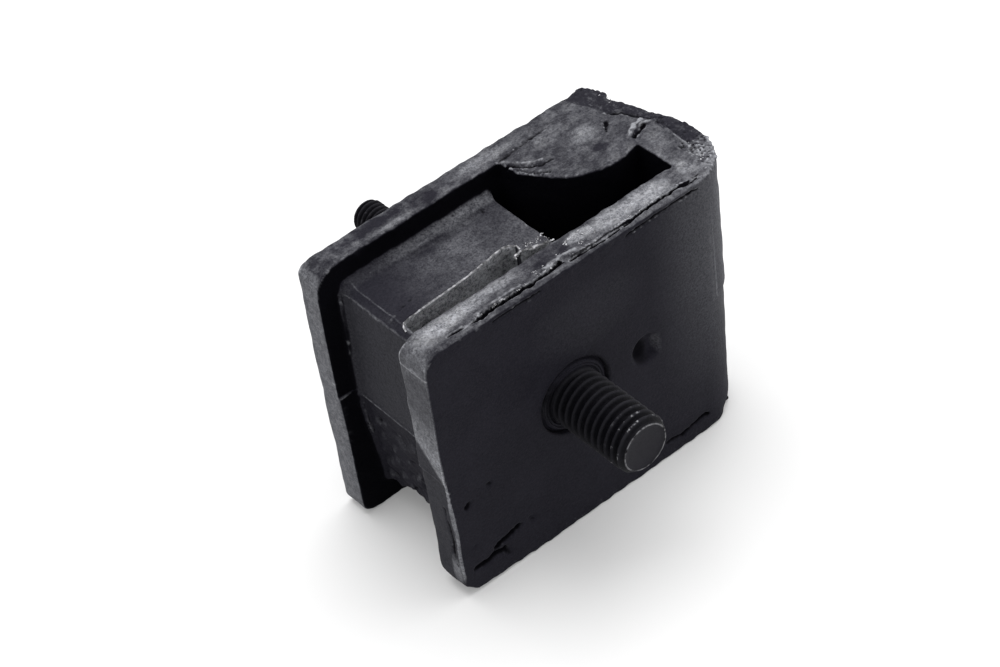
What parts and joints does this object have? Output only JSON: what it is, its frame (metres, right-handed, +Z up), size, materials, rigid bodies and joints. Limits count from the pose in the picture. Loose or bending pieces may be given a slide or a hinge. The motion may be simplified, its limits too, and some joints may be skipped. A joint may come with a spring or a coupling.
{
  "type": "transmission mount",
  "caption": "Rubber-bonded transmission mount: steel plates moulded in black rubber round an offset block, open window and bump stop, with threaded studs front and back.",
  "frame": {"origin": "middle of the mount's overall box, studs included, at the height of the edge it stands on", "axes": "+Z up along the plates' height, +Y from the short thick stud's face to the long thin stud's face, +X along the plates towards the closed end"},
  "size_m": [0.0626, 0.0734, 0.0523],
  "materials": {
    "rubber": "matte black moulded rubber with grey bloom on the upper edges",
    "plate_steel": "bare rolled steel, sealed in the rubber",
    "stud_steel": "black phosphate with worn crests"
  },
  "bodies": {
    "root": {"rubber_body": "rubber", "front_plate": "plate_steel", "rear_plate": "plate_steel", "front_stud": "stud_steel", "rear_stud": "stud_steel"}
  },
  "joints": []
}
